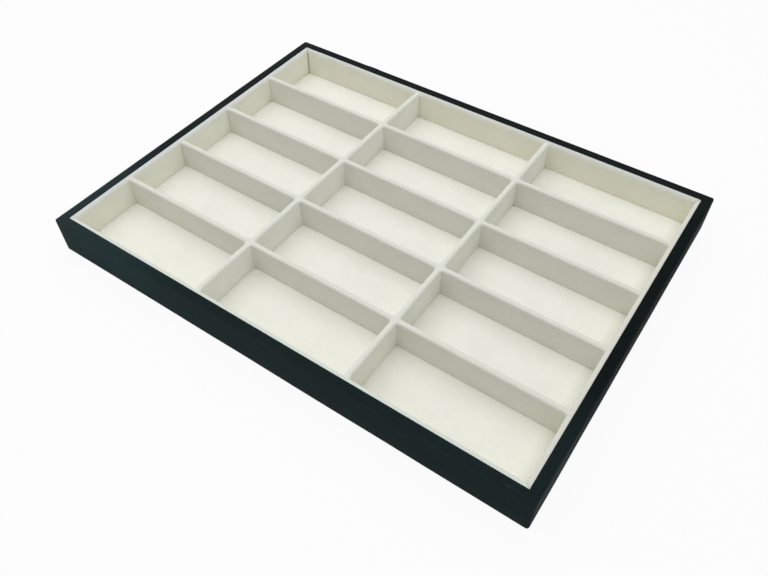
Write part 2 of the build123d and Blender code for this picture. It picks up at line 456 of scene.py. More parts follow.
def effect_group(name, inputs, outputs, wire_up):
    """A node group with named inputs and outputs, made once. An input without a value is a place."""
    group = bpy.data.node_groups.get(name)
    if group:
        return group
    group = bpy.data.node_groups.new(name, "ShaderNodeTree")
    for label, default in inputs.items():
        kind = SOCKET_KINDS[type(default)]
        socket = group.interface.new_socket(name=label, in_out="INPUT", socket_type=kind)
        if default is not None:
            socket.default_value = default
    for label in outputs:
        kind = "NodeSocketColor" if label == "Colour" else "NodeSocketFloat"
        group.interface.new_socket(name=label, in_out="OUTPUT", socket_type=kind)
    wiring = Wiring(group)
    source = wiring.add("NodeGroupInput").outputs
    target = wiring.add("NodeGroupOutput").inputs
    for label, value in wire_up(wiring, source).items():
        wiring.put(target[label], value)
    return group


def pile_group():
    """Velvet or felt pile: brushed clouds, fibres, painted shade in seams and corners, and a second tone
    for opened pile with painted light and shade.
    """

    def wire_up(wiring, source):
        place = source["Coordinates"]
        nap = wiring.spread(wiring.clouds(place, source["Nap Size"], 3.0), 0.36, 0.64)
        tuft = wiring.clouds(place, source["Tuft Size"], 2.0, 0.6)
        fibre = wiring.clouds(place, source["Fibre Size"], 2.0, 0.6)
        flecks = wiring.spread(tuft, 0.3, 0.7, 0.0, 0.45)
        amount = wiring.calc("ADD", wiring.times(nap, 0.55), flecks, clamp=True)
        base = wiring.blend(amount, source["Colour"], source["Nap Colour"])
        # Second tone: opened pile and painted shade over the tops, and painted light on the floor along
        # the panels
        with_fold_and_painted_light = wiring.blend(source["Fold And Painted Light"], base, source["Fold And Painted Light Colour"])
        # Painted shade in seams and corners
        painted_shade_share = wiring.times(source["Painted Shade"], wiring.spread(tuft, 0.25, 0.75, 0.75, 1.0))
        shaded = wiring.blend(painted_shade_share, with_fold_and_painted_light, source["Shade Colour"])
        return {
            "Colour": wiring.scale(shaded, wiring.spread(fibre, 0.3, 0.7, 0.94, 1.06, "LINEAR")),
            "Roughness": wiring.spread(nap, 0.0, 1.0, 0.82, 0.94),
            "Height": wiring.calc("MULTIPLY_ADD", fibre, 0.45, wiring.times(tuft, 0.55)),
        }

    inputs = {
        "Coordinates": None,
        "Colour": (0.8, 0.8, 0.75, 1.0),
        "Nap Colour": (0.7, 0.7, 0.65, 1.0),
        "Shade Colour": (0.4, 0.4, 0.35, 1.0),
        "Painted Shade": 0.0,
        "Fold And Painted Light Colour": (0.7, 0.7, 0.65, 1.0),
        "Fold And Painted Light": 0.0,
        "Nap Size": 0.03,
        "Tuft Size": 0.0012,
        "Fibre Size": 0.0003,
    }
    return effect_group("Pile", inputs, ("Colour", "Roughness", "Height"), wire_up)


def grain_group():
    """Pressed leather grain, with clouds where the sheet is a little duller."""

    def wire_up(wiring, source):
        place = source["Coordinates"]
        grain_size = source["Grain Size"]
        wide = wiring.scale(place, wiring.calc("DIVIDE", 0.5, grain_size))
        bend = wiring.add("ShaderNodeTexNoise", {"Vector": wide, "Scale": 1.0}).outputs["Color"]
        values = {0: bend, 1: (0.0009, 0.0009, 0.0009), 2: place}
        bent = wiring.add("ShaderNodeVectorMath", values, operation="MULTIPLY_ADD").outputs[0]
        plates = wiring.spread(wiring.cells(bent, grain_size, "DISTANCE_TO_EDGE"), 0.0, 0.22)
        fine = wiring.clouds(place, wiring.times(grain_size, 0.3), 2.0)
        dull = wiring.clouds(place, source["Cloud Size"], 3.0)
        return {
            "Clouds": wiring.spread(dull, 0.3, 0.7),
            "Roughness": wiring.spread(dull, 0.3, 0.7, 0.84, 0.96),
            "Height": wiring.calc("MULTIPLY_ADD", fine, 0.3, wiring.times(plates, 0.7)),
        }

    inputs = {"Coordinates": None, "Grain Size": 0.0009, "Cloud Size": 0.04}
    return effect_group("Leather grain", inputs, ("Clouds", "Roughness", "Height"), wire_up)


def edge_wear_group():
    """A mask along the outer edges of a box, broken up by noise."""

    def wire_up(wiring, source):
        place = wiring.axes(source["Coordinates"])
        from_side = [
            wiring.calc("SUBTRACT", source[label], wiring.calc("ABSOLUTE", place[axis]))
            for label, axis in (("Half Length", 0), ("Half Width", 1))
        ]
        from_top = wiring.calc("SUBTRACT", source["Height"], place[2])
        rim = wiring.hypotenuse(wiring.calc("MINIMUM", *from_side), from_top)
        upright = wiring.calc("SUBTRACT", wiring.hypotenuse(*from_side), source["Corner Inset"])
        line = wiring.spread(wiring.calc("MINIMUM", rim, upright), 0.0, source["Width"], 1.0, 0.0)
        rubbed = wiring.clouds(source["Coordinates"], source["Patch Size"], 3.0, 0.6)
        return {"Wear": wiring.calc("MULTIPLY", line, wiring.spread(rubbed, 0.42, 0.66), clamp=True)}

    inputs = {
        "Coordinates": None,
        "Half Length": 0.25,
        "Half Width": 0.19,
        "Height": 0.04,
        "Corner Inset": 0.0019,
        "Width": 0.0012,
        "Patch Size": 0.04,
    }
    return effect_group("Edge wear", inputs, ("Wear",), wire_up)


def speck_group():
    """A mask of sparse round specks, for lint on black and flecks in board."""

    def wire_up(wiring, source):
        place = source["Coordinates"]
        spacing = source["Spacing"]
        near = wiring.cells(place, spacing)
        tint = wiring.cells(place, spacing, "F1", "Color")
        chance = wiring.add("ShaderNodeSeparateColor", {"Color": tint}).outputs[0]
        radius = wiring.calc("DIVIDE", source["Speck Size"], spacing)
        speck = wiring.spread(near, wiring.times(radius, 0.5), radius, 1.0, 0.0)
        return {"Mask": wiring.times(speck, wiring.calc("LESS_THAN", chance, source["Share"]))}

    inputs = {"Coordinates": None, "Spacing": 0.012, "Speck Size": 0.0004, "Share": 0.3}
    return effect_group("Specks", inputs, ("Mask",), wire_up)


def specks(wiring, place, spacing, size, share=0.3):
    """A mask of specks of a size, in a share of the places that lie about a spacing apart."""
    values = {"Coordinates": place, "Spacing": spacing, "Speck Size": size, "Share": share}
    return wiring.place_group(speck_group(), values)["Mask"]


def solid_colour(values):
    """A colour property as red, green, blue and alpha."""
    return (*values, 1.0)


def start_material(name):
    """A material with its wiring, its Principled shader and Object coordinates."""
    material = bpy.data.materials.new(name)
    material.use_nodes = True
    wiring = Wiring(material.node_tree)
    shader = material.node_tree.nodes["Principled BSDF"]
    place = wiring.add("ShaderNodeTexCoord").outputs["Object"]
    return material, wiring, shader, place


def finish_shader(wiring, shader, base, roughness, relief, constants):
    """Link what varies over the surface, and set the rest on the shader's own sockets.

    The relief is a height with the strength and the depth of its bump.
    """
    values = dict(zip(("Height", "Strength", "Distance"), relief))
    bump = wiring.add("ShaderNodeBump", values)
    wiring.put(shader.inputs["Base Color"], base)
    wiring.put(shader.inputs["Roughness"], roughness)
    wiring.put(shader.inputs["Normal"], bump.outputs[0])
    for name, value in constants.items():
        shader.inputs[name].default_value = value


def painted_reflection(wiring, place, axes, clouds):
    """Where a reflection is painted on the sheet: round the front left corner, along the front and on its
    face.
    """
    values = {0: place, 1: (cover_low.x, cover_low.y, RIM_TOP)}
    corner = wiring.add("ShaderNodeVectorMath", values, operation="DISTANCE").outputs["Value"]
    near_corner = wiring.spread(corner, 40 * MM, 180 * MM, 0.41, 0.0)
    near_front = wiring.spread(axes["Y"], cover_low.y + 50 * MM, cover_low.y + 135 * MM, 0.27, 0.0)
    on_front = wiring.spread(axes["Y"], cover_low.y + 0.3 * MM, cover_low.y + 1.0 * MM, 1.0, 0.0)
    front_face = wiring.times(on_front, wiring.spread(axes["X"], cover_low.x, cover_high.x, 0.36, 0.17))
    reflection_share = wiring.calc("ADD", wiring.calc("ADD", near_corner, near_front), front_face, clamp=True)
    return wiring.times(reflection_share, wiring.spread(clouds, 0.0, 1.0, 0.85, 1.15, "LINEAR"))


def corner_crease(wiring, axes):
    """A short pressed line in the sheet on the rim, beside the front right corner."""
    across = wiring.calc("ABSOLUTE", wiring.calc("SUBTRACT", axes["Y"], cover_low.y + 3.5 * MM))
    start = cover_high.x - 26 * MM
    return wiring.times(
        wiring.spread(axes["Z"], RIM_TOP - 1.0 * MM, RIM_TOP - 0.3 * MM),
        wiring.spread(across, 0.3 * MM, 0.9 * MM, 1.0, 0.0),
        wiring.spread(axes["X"], start, start + 1.5 * MM),
        wiring.spread(axes["X"], start + 2 * MM, start + 6 * MM, 1.0, 0.4),
        wiring.spread(axes["X"], start + 12 * MM, start + 18 * MM, 1.0, 0.0),
    )


def lighter_places_and_painted_glints(wiring, place, axes):
    """Where the sheet is lighter: rubbed along its edges, lighter towards its foot, its left end and its
    back, and on its end faces near the corners rubbed and given painted glints.
    """
    corner_radius = bpy.context.scene.display_tray_sizes.corner_radius
    edges = wiring.place_group(
        edge_wear_group(),
        {
            "Coordinates": place,
            "Half Length": cover_high.x,
            "Half Width": cover_high.y,
            "Height": RIM_TOP,
            "Corner Inset": (math.sqrt(2) - 1) * corner_radius,
            "Width": 1.3 * MM,
        },
    )["Wear"]
    from_middle = wiring.calc("ABSOLUTE", axes["X"])
    on_end_face = wiring.spread(from_middle, cover_high.x - 1.0 * MM, cover_high.x - 0.3 * MM)
    near_front = wiring.spread(axes["Y"], cover_low.y + 20 * MM, cover_low.y + 100 * MM, 1.0, 0.0)
    near_back = wiring.spread(axes["Y"], cover_high.y - 110 * MM, cover_high.y - 20 * MM, 0.0, 0.8)
    return wiring.largest(
        wiring.times(edges, 0.8),
        wiring.spread(axes["Z"], 0.0, 22 * MM, 0.5, 0.0),
        wiring.spread(axes["X"], cover_low.x + 12 * MM, cover_low.x + 50 * MM, 0.33, 0.0),
        wiring.spread(axes["Y"], cover_high.y - 40 * MM, cover_high.y - 12 * MM, 0.0, 0.17),
        # Painted glints, with some wear, on the end faces near the front and back corners
        wiring.times(on_end_face, wiring.largest(near_front, near_back)),
        corner_crease(wiring, axes),
    )


def leatherette_material(colours):
    """Smooth matt black leatherette, with a painted reflection towards one corner, rubbed a little along
    its edges, and with painted glints near the corners of its end faces.
    """
    material, wiring, shader, place = start_material("Black leatherette")
    axes = wiring.axes(place)
    # Colour of the rubbed places, the painted glints and the lint
    wear = solid_colour(colours.leatherette_wear_and_glint)
    grain = wiring.place_group(grain_group(), {"Coordinates": place})
    lint = specks(wiring, place, 22 * MM, 0.35 * MM)
    # Painted reflection round the front left corner, along the front and on the front face
    reflection_share = painted_reflection(wiring, place, axes, grain["Clouds"])
    with_reflection = wiring.blend(reflection_share, solid_colour(colours.leatherette), solid_colour(colours.leatherette_reflection))
    # Wear on the edges, painted glints near the end faces' corners, and lighter towards the foot, the left
    # end and the back
    rubbed = wiring.blend(lighter_places_and_painted_glints(wiring, place, axes), with_reflection, wear)
    dusty = wiring.blend(wiring.times(lint, 0.5), rubbed, wear)
    grained = wiring.scale(dusty, wiring.spread(grain["Height"], 0.15, 0.85, 0.78, 1.18, "LINEAR"))
    constants = {"Specular IOR Level": 0.07, "Specular Tint": (0.65, 0.95, 1.0, 1.0)}
    relief = (grain["Height"], 0.5, 0.1 * MM)
    finish_shader(wiring, shader, grained, grain["Roughness"], relief, constants)
    return material


def velvet_material(name, base, fold_and_painted_light, shade):
    """Cream velvet with a short, dense pile, which opens where it bends over an edge, with masks for
    painted shade in seams and corners and for painted light and shade in a second tone.
    """
    material, wiring, shader, place = start_material(name)
    nap = [0.955 * value for value in base]
    pile = wiring.place_group(
        pile_group(),
        {
            "Coordinates": place,
            "Colour": solid_colour(base),
            "Nap Colour": solid_colour(nap),
            "Shade Colour": solid_colour(shade),
            "Painted Shade": wiring.add("ShaderNodeAttribute", attribute_name="painted_shade").outputs["Fac"],
            "Fold And Painted Light Colour": solid_colour(fold_and_painted_light),
            "Fold And Painted Light": wiring.add("ShaderNodeAttribute", attribute_name="fold_and_painted_light").outputs["Fac"],
            "Nap Size": 28 * MM,
            "Tuft Size": 1.6 * MM,
            "Fibre Size": 0.3 * MM,
        },
    )
    constants = {
        "Specular IOR Level": 0.1,
        "Sheen Weight": 0.08,
        "Sheen Roughness": 0.4,
        "Sheen Tint": (1.0, 0.99, 0.95, 1.0),
    }
    relief = (pile["Height"], 0.35, 0.25 * MM)
    finish_shader(wiring, shader, pile["Colour"], pile["Roughness"], relief, constants)
    return material


def felt_material(colours):
    """Black pressed felt."""
    material, wiring, shader, place = start_material("Black felt")
    pile = wiring.place_group(
        pile_group(),
        {
            "Coordinates": place,
            "Colour": solid_colour(colours.felt),
            "Nap Colour": solid_colour(colours.felt_nap),
            "Nap Size": 45 * MM,
            "Tuft Size": 1.1 * MM,
            "Fibre Size": 0.25 * MM,
        },
    )
    lint = specks(wiring, place, 14 * MM, 0.5 * MM)
    dusty = wiring.blend(wiring.times(lint, 0.6), pile["Colour"], solid_colour(colours.felt_lint))
    constants = {"Specular IOR Level": 0.1, "Sheen Weight": 0.1}
    relief = (pile["Height"], 0.5, 0.3 * MM)
    finish_shader(wiring, shader, dusty, pile["Roughness"], relief, constants)
    return material


def board_material(name, base, fleck, fleck_size):
    """Fibreboard or grey card: pressed fibres with flecks."""
    material, wiring, shader, place = start_material(name)
    clouds = wiring.clouds(place, 18 * MM, 4.0, 0.6)
    fibres = wiring.clouds(place, fleck_size, 3.0, 0.7)
    flecks = specks(wiring, place, 5 * fleck_size, fleck_size, 0.6)
    dark = solid_colour(fleck)
    toned = wiring.blend(wiring.spread(clouds, 0.3, 0.7, 0.0, 0.35), solid_colour(base), dark)
    marked = wiring.blend(wiring.times(flecks, 0.5), toned, dark)
    roughness = wiring.spread(fibres, 0.2, 0.8, 0.7, 0.92)
    finish_shader(wiring, shader, marked, roughness, (fibres, 0.3, 0.1 * MM), {})
    return material


def steel_material(colours):
    """Bright drawn steel, a little dulled."""
    material, wiring, shader, place = start_material("Pin steel")
    drawn = wiring.clouds(place, 0.6 * MM, 3.0)
    amount = wiring.spread(drawn, 0.3, 0.7, 0.0, 0.5)
    dull = wiring.blend(amount, solid_colour(colours.steel), solid_colour(colours.steel_dull))
    roughness = wiring.spread(drawn, 0.3, 0.7, 0.28, 0.45)
    finish_shader(wiring, shader, dull, roughness, (drawn, 0.15, 0.05 * MM), {"Metallic": 1.0})
    return material


# Outer cover


def ring_out(bm, edges, lift, inside=None):
    """Extrude a ring of edges, lift it and bring it inside a rectangle, and return its edges."""
    verts, ring = extrude_line(bm, edges)
    bmesh.ops.translate(bm, verts=verts, vec=(0, 0, lift))
    if inside:
        half_x, half_y = inside
        for vertex in verts:
            vertex.co.x = max(-half_x, min(half_x, vertex.co.x))
            vertex.co.y = max(-half_y, min(half_y, vertex.co.y))
    return ring


class OuterCover(bpy.types.Operator):
    """Wrap the casing in one sheet of leatherette, with its joint on the back"""

    bl_idname = "display_tray.outer_cover"
    bl_label = "Outer cover"

    def execute(self, context):
        sizes = context.scene.display_tray_sizes
        bm = bmesh.new()
        foot = self.lay_outline(bm, sizes.corner_radius)
        self.wrap_casing(bm, foot, sizes)
        bmesh.ops.remove_doubles(bm, verts=bm.verts, dist=SAME)
        face_outwards(bm, above=0.99 * RIM_TOP)
        self.round_edges(bm, sizes)
        self.lay_joint(bm, sizes)
        for vertex in bm.verts:
            across = sizes.leather_waver * waver(vertex.co, COVER_WAVES, 1.3)
            vertex.co.x += across * math.copysign(1, vertex.co.x)
            vertex.co.y += across * math.copysign(1, vertex.co.y)
        material = leatherette_material(context.scene.display_tray_colours)
        piece = finish_piece("leatherette_cover", bm, material, sizes.leatherette)
        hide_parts("outer_cover")
        return {"FINISHED"}

    def lay_outline(self, bm, corner_radius):
        """The cover's outline at its foot, with rounded corners, as a ring of edges."""
        corners = [(-1, -1), (1, -1), (1, 1), (-1, 1)]
        ring = wire(bm, [(x * cover_high.x, y * cover_high.y, cover_low.z) for x, y in corners])
        bm.edges.new((ring[-1], ring[0]))
        round_off(bm, ring, corner_radius, 6, "VERTICES")
        for edge in [edge for edge in bm.edges if edge.calc_length() > 0.1]:
            cuts = round(edge.calc_length() / COVER_PITCH)
            bmesh.ops.subdivide_edges(bm, edges=[edge], cuts=cuts)
        return bm.edges[:]

    def wrap_casing(self, bm, foot, sizes):
        """Up the outside, over the rim and down behind the lining, and in under the base."""

        def inset(distance):
            return (cover_high.x - distance, cover_high.y - distance)

        ring = foot
        for share in WALL_SHARES:
            ring = ring_out(bm, ring, share * (RIM_TOP - cover_low.z))
        beside_lining = (RIM_INNER[0] + LINING_LOOP, RIM_INNER[1] + LINING_LOOP)
        for inside in (inset(FOLD_LOOP), inset(RIM_LOOP), beside_lining, RIM_INNER):
            ring = ring_out(bm, ring, 0, inside)
        ring = ring_out(bm, ring, -FOLD_LOOP)
        ring_out(bm, ring, FOLD_LOOP - sizes.rim_turn_in)
        under = ring_out(bm, foot, 0, inset(FOLD_LOOP))
        ring_out(bm, under, 0, inset(sizes.bottom_turn_in))

    def round_edges(self, bm, sizes):
        """Round the rim's two edges and the lower outer edge."""

        def on_inner_line(vertex):
            x, y = abs(vertex.co.x), abs(vertex.co.y)
            return x < RIM_INNER[0] + 0.1 * MM and y < RIM_INNER[1] + 0.1 * MM

        for level, inner, radius, segments in (
            (RIM_TOP, False, sizes.rim_edge, 4),
            (RIM_TOP, True, sizes.inner_edge, 2),
            (cover_low.z, False, sizes.foot_edge, 3),
        ):
            edges = [
                edge
                for edge in bm.edges
                if len(edge.link_faces) == 2
                and edge.calc_face_angle(0) > math.radians(60)
                and all(abs(vertex.co.z - level) < SAME for vertex in edge.verts)
                and inner == all(on_inner_line(vertex) for vertex in edge.verts)
            ]
            round_off(bm, edges, radius, segments, "EDGES")

    def lay_joint(self, bm, sizes):
        """Raise the overlap where the sheet's two ends meet on the back wall."""
        end = JOINT_START + sizes.sheet_overlap
        back_line = RIM_INNER[1] - 1 * MM
        for place in (JOINT_START - JOINT_STEP, JOINT_START, end, end + JOINT_SLOPE):
            back = [face for face in bm.faces if face.calc_center_median().y > back_line]
            touched = {*back, *(edge for face in back for edge in face.edges)}
            touched |= {vertex for face in back for vertex in face.verts}
            bmesh.ops.bisect_plane(
                bm,
                geom=list(touched),
                plane_co=(place, 0, 0),
                plane_no=(1, 0, 0),
                dist=0.001 * MM,
            )
        bm.normal_update()
        for vertex in bm.verts:
            in_joint = JOINT_START - SAME < vertex.co.x < end + SAME
            if in_joint and vertex.co.y > back_line:
                vertex.co += vertex.normal * sizes.overlap_step


# Velvet


def velvet_sheet(name, bm, context, finish, node, masks):
    """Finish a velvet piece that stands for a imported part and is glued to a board."""
    sizes = context.scene.display_tray_sizes
    colours = context.scene.display_tray_colours
    label = f"Cream velvet, {finish}"
    material = bpy.data.materials.get(label)
    if not material:
        # Each finish is its own copy of the cream velvet, with painted light and shade in its colours
        base = getattr(colours, f"{finish}_velvet")
        fold_and_painted_light = getattr(colours, f"{finish}_fold_and_painted_light")
        material = velvet_material(label, base, fold_and_painted_light, colours.velvet_shade)
    piece = finish_piece(name, bm, material, sizes.velvet, masks)
    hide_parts(node)


def hem_points(face, size):
    """The lower edge of a panel's velvet, from the floor to the face that it rises to."""
    return [
        (face - size, FLOOR_TOP),
        (face - 0.35 * size, FLOOR_TOP + 0.25 * size),
        (face, FLOOR_TOP + size),
    ]


def fold_and_painted_light_mask(radius):
    """A mask of how far the pile opens over a panel's top, rounded by a radius, which also lays painted
    shade over the top.
    """
    return lambda place: max(0.0, 1 - (PANEL_TOP - place.z) / radius)


def web_width(gap, radius):
    """How far a face swings out in a rounded inner corner, at a gap from the face that it meets."""
    if gap >= radius:
        return 0.0
    reach = max(gap, (1 - math.sqrt(0.5)) * radius)
    return radius - math.sqrt(radius**2 - (radius - reach) ** 2)


def nearness(distance, reach):
    """1 at a seam, and softly down to 0 at a reach from it."""
    return 1 - smooth_step(0.0, reach, distance)


def floor_press(distance, depth):
    """How far the floor is pressed down at a distance out from a panel's face."""
    under = smooth_step(-0.8 * MM, -0.3 * MM, distance)
    beside = 1 - smooth_step(0.3 * MM, 1.9 * MM, distance)
    return depth * under * beside


def panel_distances(place):
    """Distances out from the faces of the panels on the floor, less than nothing under them."""
    columns = [abs(place.x - centre) - PANEL_HALF for centre in column_centres]
    rows = [abs(place.y - centre) - PANEL_HALF for centre in row_centres]
    return [*columns, *rows, LINING_FACE[0] - abs(place.x), LINING_FACE[1] - abs(place.y)]


def gap_to_panel(place, axis, side):
    """The open floor between a place and the next panel on one side of it."""
    centres = (column_centres, row_centres)[axis]
    gaps = [side * (centre - place[axis]) - PANEL_HALF for centre in centres]
    gaps.append(LINING_FACE[axis] - side * place[axis])
    return min((gap for gap in gaps if gap > 0), default=0.0)


def floor_painted_light(place):
    """How much painted light brightens the floor, most along the panel behind and in the corner at its
    left.
    """
    along_panel = nearness(gap_to_panel(place, 1, 1), PAINTED_LIGHT_REACH)
    in_corner = nearness(gap_to_panel(place, 0, -1), PAINTED_LIGHT_REACH)
    return along_panel * (PAINTED_LIGHT_SHARE + (1 - PAINTED_LIGHT_SHARE) * in_corner)


def floor_painted_shade(place):
    """How much painted shade darkens the floor: beside the panel at its right, and in a band at its left.
    """
    beside_panel = nearness(gap_to_panel(place, 0, 1), PAINTED_SHADE_REACH)
    leftward = gap_to_panel(place, 0, -1)
    band = smooth_step(0.0, BAND_START, leftward) * nearness(leftward, BAND_END)
    along_panel = nearness(gap_to_panel(place, 1, 1), PAINTED_LIGHT_REACH)
    return max(PAINTED_SHADE_SHARE * beside_panel, BAND_SHARE * band * (1 - along_panel))


class FloorVelvet(bpy.types.Operator):
    """Lay the floor's velvet, pressed down along every panel that stands on it"""

    bl_idname = "display_tray.floor_velvet"
    bl_label = "Floor velvet"

    def execute(self, context):
        sizes = context.scene.display_tray_sizes
        # Loops that carry the slopes of the press lines
        steps = in_mm(-0.8, -0.3, 0.3, 0.7, 1.2, 1.9, 3.2)
        x_loops = beside_panels(column_centres, steps) + beside_ends(LINING_FACE[0], steps)
        y_loops = beside_panels(row_centres, steps) + beside_ends(LINING_FACE[1], steps)
        across = stations(floor_low.x, floor_high.x, FLOOR_PITCH, x_loops)
        along = stations(floor_low.y, floor_high.y, FLOOR_PITCH, y_loops)
        bm = bmesh.new()
        wire(bm, [(x, along[0], FLOOR_TOP) for x in across])
        draw_out(bm, bm.edges[:], Vector((0, 1, 0)), along)
        face_outwards(bm)
        for vertex in bm.verts:
            gaps = panel_distances(vertex.co)
            pressed = max(floor_press(gap, sizes.floor_groove) for gap in gaps)
            loose = smooth_step(1 * MM, 6 * MM, min(gaps))
            vertex.co.z += 0.5 * sizes.velvet_waver * loose * waver(vertex.co, FLOOR_WAVES, 5.1) - pressed
        # Painted light along the panels behind, and painted shade beside the panels at the right and in a
        # band at the left
        masks = {"fold_and_painted_light": floor_painted_light, "painted_shade": floor_painted_shade}
        velvet_sheet("floor_cloth", bm, context, "floor", "floor_velvet", masks)
        return {"FINISHED"}


class DividerSleeves(bpy.types.Operator):
    """Sleeve the dividers in velvet and fit the sleeves to each other at the crossings"""

    bl_idname = "display_tray.divider_sleeves"
    bl_label = "Divider sleeves"

    def execute(self, context):
        for number, name in enumerate(ROW_NODES):
            self.sleeve(context, name, number + 1.0, 0)
        for number, name in enumerate(COLUMN_NODES):
            self.sleeve(context, name, number + 8.0, 1)
        return {"FINISHED"}

    def sleeve(self, context, name, seed, axis):
        """The sleeve of a divider along an axis, made along X, then turned and set at its place."""
        sizes = context.scene.display_tray_sizes
        is_row = axis == 0
        crossings = (column_centres, row_centres)[axis]
        face = LINING_FACE[axis]
        lap = LAP_LEVEL + (-0.2 if is_row else 0.2) * MM
        side = hem_points(PANEL_HALF, sizes.sleeve_hem)
        side += [(PANEL_HALF, z) for z in (lap, PANEL_TOP - TOP_LOOP, PANEL_TOP)]
        outline = [(-v, z) for v, z in side] + side[::-1]
        # Loops that carry the curves of the webs
        web_steps = in_mm(0.0, 0.24, 0.5, 0.73, 0.8, 1.2, 1.8, 2.5, 3.6, 5.0)
        loops = beside_panels(crossings, web_steps) + beside_ends(face, web_steps)
        places = stations(-face, face, SLEEVE_PITCH, loops)
        bm = bmesh.new()
        line = wire(bm, [(places[0], v, z) for v, z in outline])
        round_off(bm, line[5:7], sizes.divider_edge, 6, "VERTICES")
        draw_out(bm, bm.edges[:], Vector((1, 0, 0)), places)
        face_outwards(bm, above=PANEL_TOP - 1 * MM)
        self.cut_slots(bm, crossings, lap, is_row)
        area = sum(item.calc_area() for item in bm.faces)
        self.fit(bm, sizes, crossings, face, lap, is_row, seed)
        turn_about(bm, 90 * axis)
        centre = middle(f"{name}_velvet")
        bmesh.ops.translate(bm, verts=bm.verts, vec=(0, centre.y, 0) if is_row else (centre.x, 0, 0))

        # Painted shade in the upright corners at the crossings and at the ends
        def painted_shade(place):
            run = place[axis]
            to_crossing = min(abs(abs(run - cut) - PANEL_HALF) for cut in crossings)
            at_crossing = nearness(to_crossing, 1.0 * MM)
            at_end = nearness(abs(face - abs(run)), 0.9 * MM)
            below_top = smooth_step(0.5 * MM, 3.5 * MM, PANEL_TOP - place.z)
            return max(0.15 * at_crossing, 0.4 * at_end) * below_top

        velvet_sheet(
            f"{name}_sleeve",
            bm,
            context,
            "row" if is_row else "column",
            f"{name}_velvet",
            {"painted_shade": painted_shade, "fold_and_painted_light": fold_and_painted_light_mask(sizes.divider_edge)},
        )

    def cut_slots(self, bm, crossings, lap, is_row):
        """Take out the velvet where others cross: above the lap in a row, and below it in a column."""
        gone = []
        for item in bm.faces:
            spot = item.calc_center_median()
            in_slot = any(abs(spot.x - place) < PANEL_HALF for place in crossings)
            if in_slot and (spot.z > lap) == is_row:
                gone.append(item)
        bmesh.ops.delete(bm, geom=gone, context="FACES")

    def fit(self, bm, sizes, crossings, face, lap, is_row, seed):
        """Fit the ends and slots to the velvet they meet, and make the sleeve uneven as glued cloth is."""
        for vertex in bm.verts:
            start = vertex.co.copy()
            run = start.x
            place = min(crossings, key=lambda other: abs(run - other))
            to_crossing = abs(run - place) - PANEL_HALF
            to_end = face - abs(run)

            # Cut edges, tucked into the velvet that they meet
            if is_row and start.z > lap and abs(to_crossing) < SAME:
                drawn = crown(start.z, sizes.divider_edge) + TUCK
                vertex.co.x = place + math.copysign(PANEL_HALF - drawn, run - place)
            if to_end < SAME:
                drawn = crown(start.z, sizes.lining_edge) + TUCK
                vertex.co.x = math.copysign(face + drawn, run)

            # Webs in the corners, wide at the top and narrow below
            near_top = smooth_step(PANEL_TOP - 8 * MM, PANEL_TOP - 1.5 * MM, start.z)
            radius = sizes.upright_web + (sizes.crossing_web - sizes.upright_web) * near_top
            web = web_width(to_crossing, radius) + web_width(to_end, 0.6 * radius)
            vertex.co.y *= 1 + web / PANEL_HALF

            # Unevenness of the glued velvet
            free = sizes.velvet_waver * smooth_step(FLOOR_TOP, FLOOR_TOP + 6 * MM, start.z)
            vertex.co.y += 0.8 * free * waver(Vector((run, seed, 0)), DIVIDER_WAVES, seed)
            vertex.co.y += math.copysign(0.5 * free * waver(start, FACE_WAVES, seed + 2), start.y)

            # Dips at the linings, and of the rows at the columns
            loose = smooth_step(0.0, 6 * MM, min(to_crossing, to_end))
            lift = 0.5 * sizes.velvet_waver * loose * waver(start, TOP_WAVES, seed + 4)
            lift -= sizes.end_dip * nearness(to_end, 4 * MM)
            if is_row:
                lift -= sizes.crossing_dip * nearness(to_crossing, 3 * MM)
            vertex.co.z += lift * smooth_step(PANEL_TOP - 6 * MM, PANEL_TOP - 1 * MM, start.z)


